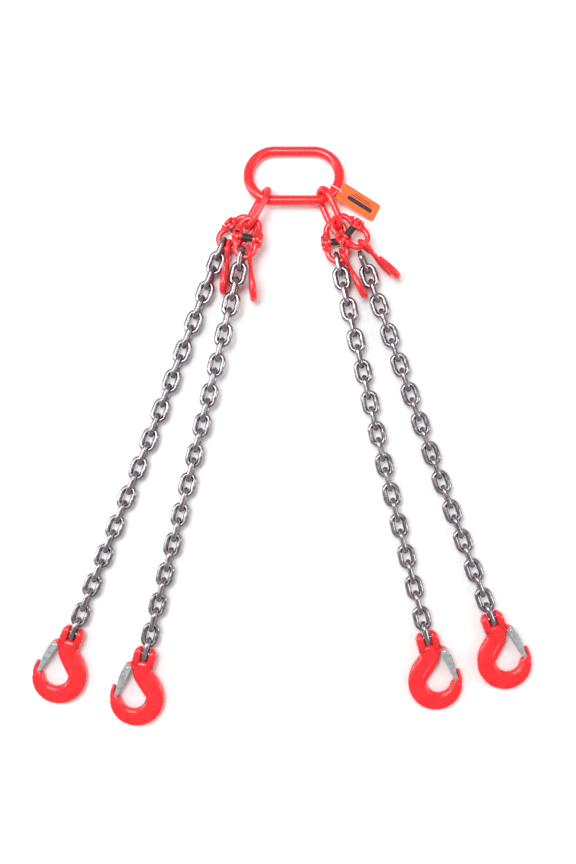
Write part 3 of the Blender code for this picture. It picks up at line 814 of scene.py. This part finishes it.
def latch_back():
    """The sheet that joins the cheeks, bowed outwards by a half ellipse that fades at the tip."""
    rows, columns = 30, 13
    y = np.linspace(-8.4, -45.8, rows)
    t = np.linspace(-1, 1, columns)
    edge = -5.85 + 1.6 * y / -46.4
    bow_out = 1.9 * np.clip((y + 33) / 8, 0, 1) * np.clip((-7.6 - y) / 3, 0, 1) ** 0.5
    round_back = np.sqrt(1 - t**2)
    outer = edge[:, None] + 0.25 - (bow_out[:, None] + 0.3) * round_back
    inner = outer + 1.0
    z = np.concatenate([8.9 * t, 8.2 * t[::-1]])
    x = np.concatenate([outer, inner[:, ::-1]], axis=1)
    points = np.stack([x, np.repeat(y[:, None], 2 * columns, 1), np.repeat(z[None], rows, 0)], -1)
    return points.reshape(-1, 3), [f[::-1] for f in grid_faces(rows, 2 * columns, False)]


cheeks, back = latch_cheeks(), latch_back()
for name, leg in LEGS.items():
    f, flip = frames[name], leg["side"] > 0
    placed = [(cheeks.placed(f["latch"], flip), cheeks.faces, flip)]
    new_piece(f"{name}_latch_cheeks", placed, ZINC, f"{name}_latch", [f"{name}_latch"])
    # the back gets the dark zinc: painted shade on the latch's outer side
    new_piece(f"{name}_latch_back", [simple(back, f["latch"], flip)], PAINTED_SHADE_ZINC, f"{name}_latch",
              ())
print("latches made")

# %% [markdown]
# ## Tag and tie
#
# The tag and its tie keep their CAD shape and get their finish.  Plain bars stand in for print.

# %% Tag and tie
for node, finish in (("identity_tag", TAG), ("tag_tie", TIE)):
    nodes[node].data.materials.clear()
    nodes[node].data.materials.append(finish)
tag_frame = frame_at(Vector((91.37, 372.39, 22.98)) * MM, 62, 18)


def printed_bar(centre, length, width):
    """A thin raised pad on the tag: a superellipse of length by width, 0.16 mm proud."""
    a = np.linspace(0, 2 * np.pi, 40, endpoint=False)
    c = np.sign(np.cos(a)) * np.abs(np.cos(a)) ** 0.25
    s = np.sign(np.sin(a)) * np.abs(np.sin(a)) ** 0.25
    outline = np.column_stack([centre[0] + width / 2 * c, centre[1] + length / 2 * s])
    return plate(outline, 0.45, 0.76, edge=0.05)


bars = Shell()
for across, length, width in ((1.5, 44, 6.4), (-4.6, 40, 1.1), (-7.4, 30, 1.1)):
    bars.add(*printed_bar((-across, -34), length, width))
new_piece("tag_bars", [(bars.placed(tag_frame), bars.faces, False)], INK, "tag", ())
print("tag and tie finished")

# %% [markdown]
# ## Floor, light and camera
#
# A pale floor, a broad soft light overhead, one at each side, and a camera that looks straight down.

# %% Stage
floor_mesh = bpy.data.meshes.new("floor")
floor_mesh.from_pydata([(-6, -6, 0), (6, -6, 0), (6, 6, 0), (-6, 6, 0)], [], [(0, 1, 2, 3)])
floor = bpy.data.objects.new("floor", floor_mesh)
floor_mesh.materials.append(material("floor_paint", (0.93, 0.93, 0.93), 0.85, 0.0))
bpy.context.scene.collection.objects.link(floor)


def area_light(name, place, size, power):
    """A rectangular lamp at place, aimed at the middle of the floor: metres and watts."""
    light = bpy.data.lights.new(name, "AREA")
    light.shape = "RECTANGLE"
    light.size, light.size_y = size
    light.energy = power
    lamp = bpy.data.objects.new(name, light)
    lamp.location = place
    lamp.rotation_euler = (-Vector(place)).to_track_quat("-Z", "Y").to_euler()
    bpy.context.scene.collection.objects.link(lamp)


area_light("overhead", (-0.5, 0.6, 2.4), (1.3, 0.9), 46)
area_light("left", (-1.9, 0.2, 1.0), (0.5, 2.0), 20)
area_light("right", (1.9, -0.2, 1.2), (0.4, 2.0), 14)
world = bpy.data.worlds.new("studio")
bpy.context.scene.world = world
world.use_nodes = True
world.node_tree.nodes["Background"].inputs["Color"].default_value = (1, 1, 1, 1)
world.node_tree.nodes["Background"].inputs["Strength"].default_value = 0.42

camera_data = bpy.data.cameras.new("camera")
camera_data.lens = 43.06
camera_data.sensor_width = 36
camera_data.clip_end = 20
camera = bpy.data.objects.new("camera", camera_data)
camera.location = (0.0093, 0.0060, 1.6)
bpy.context.scene.collection.objects.link(camera)
bpy.context.scene.camera = camera
bpy.context.scene.view_settings.view_transform = "Standard"
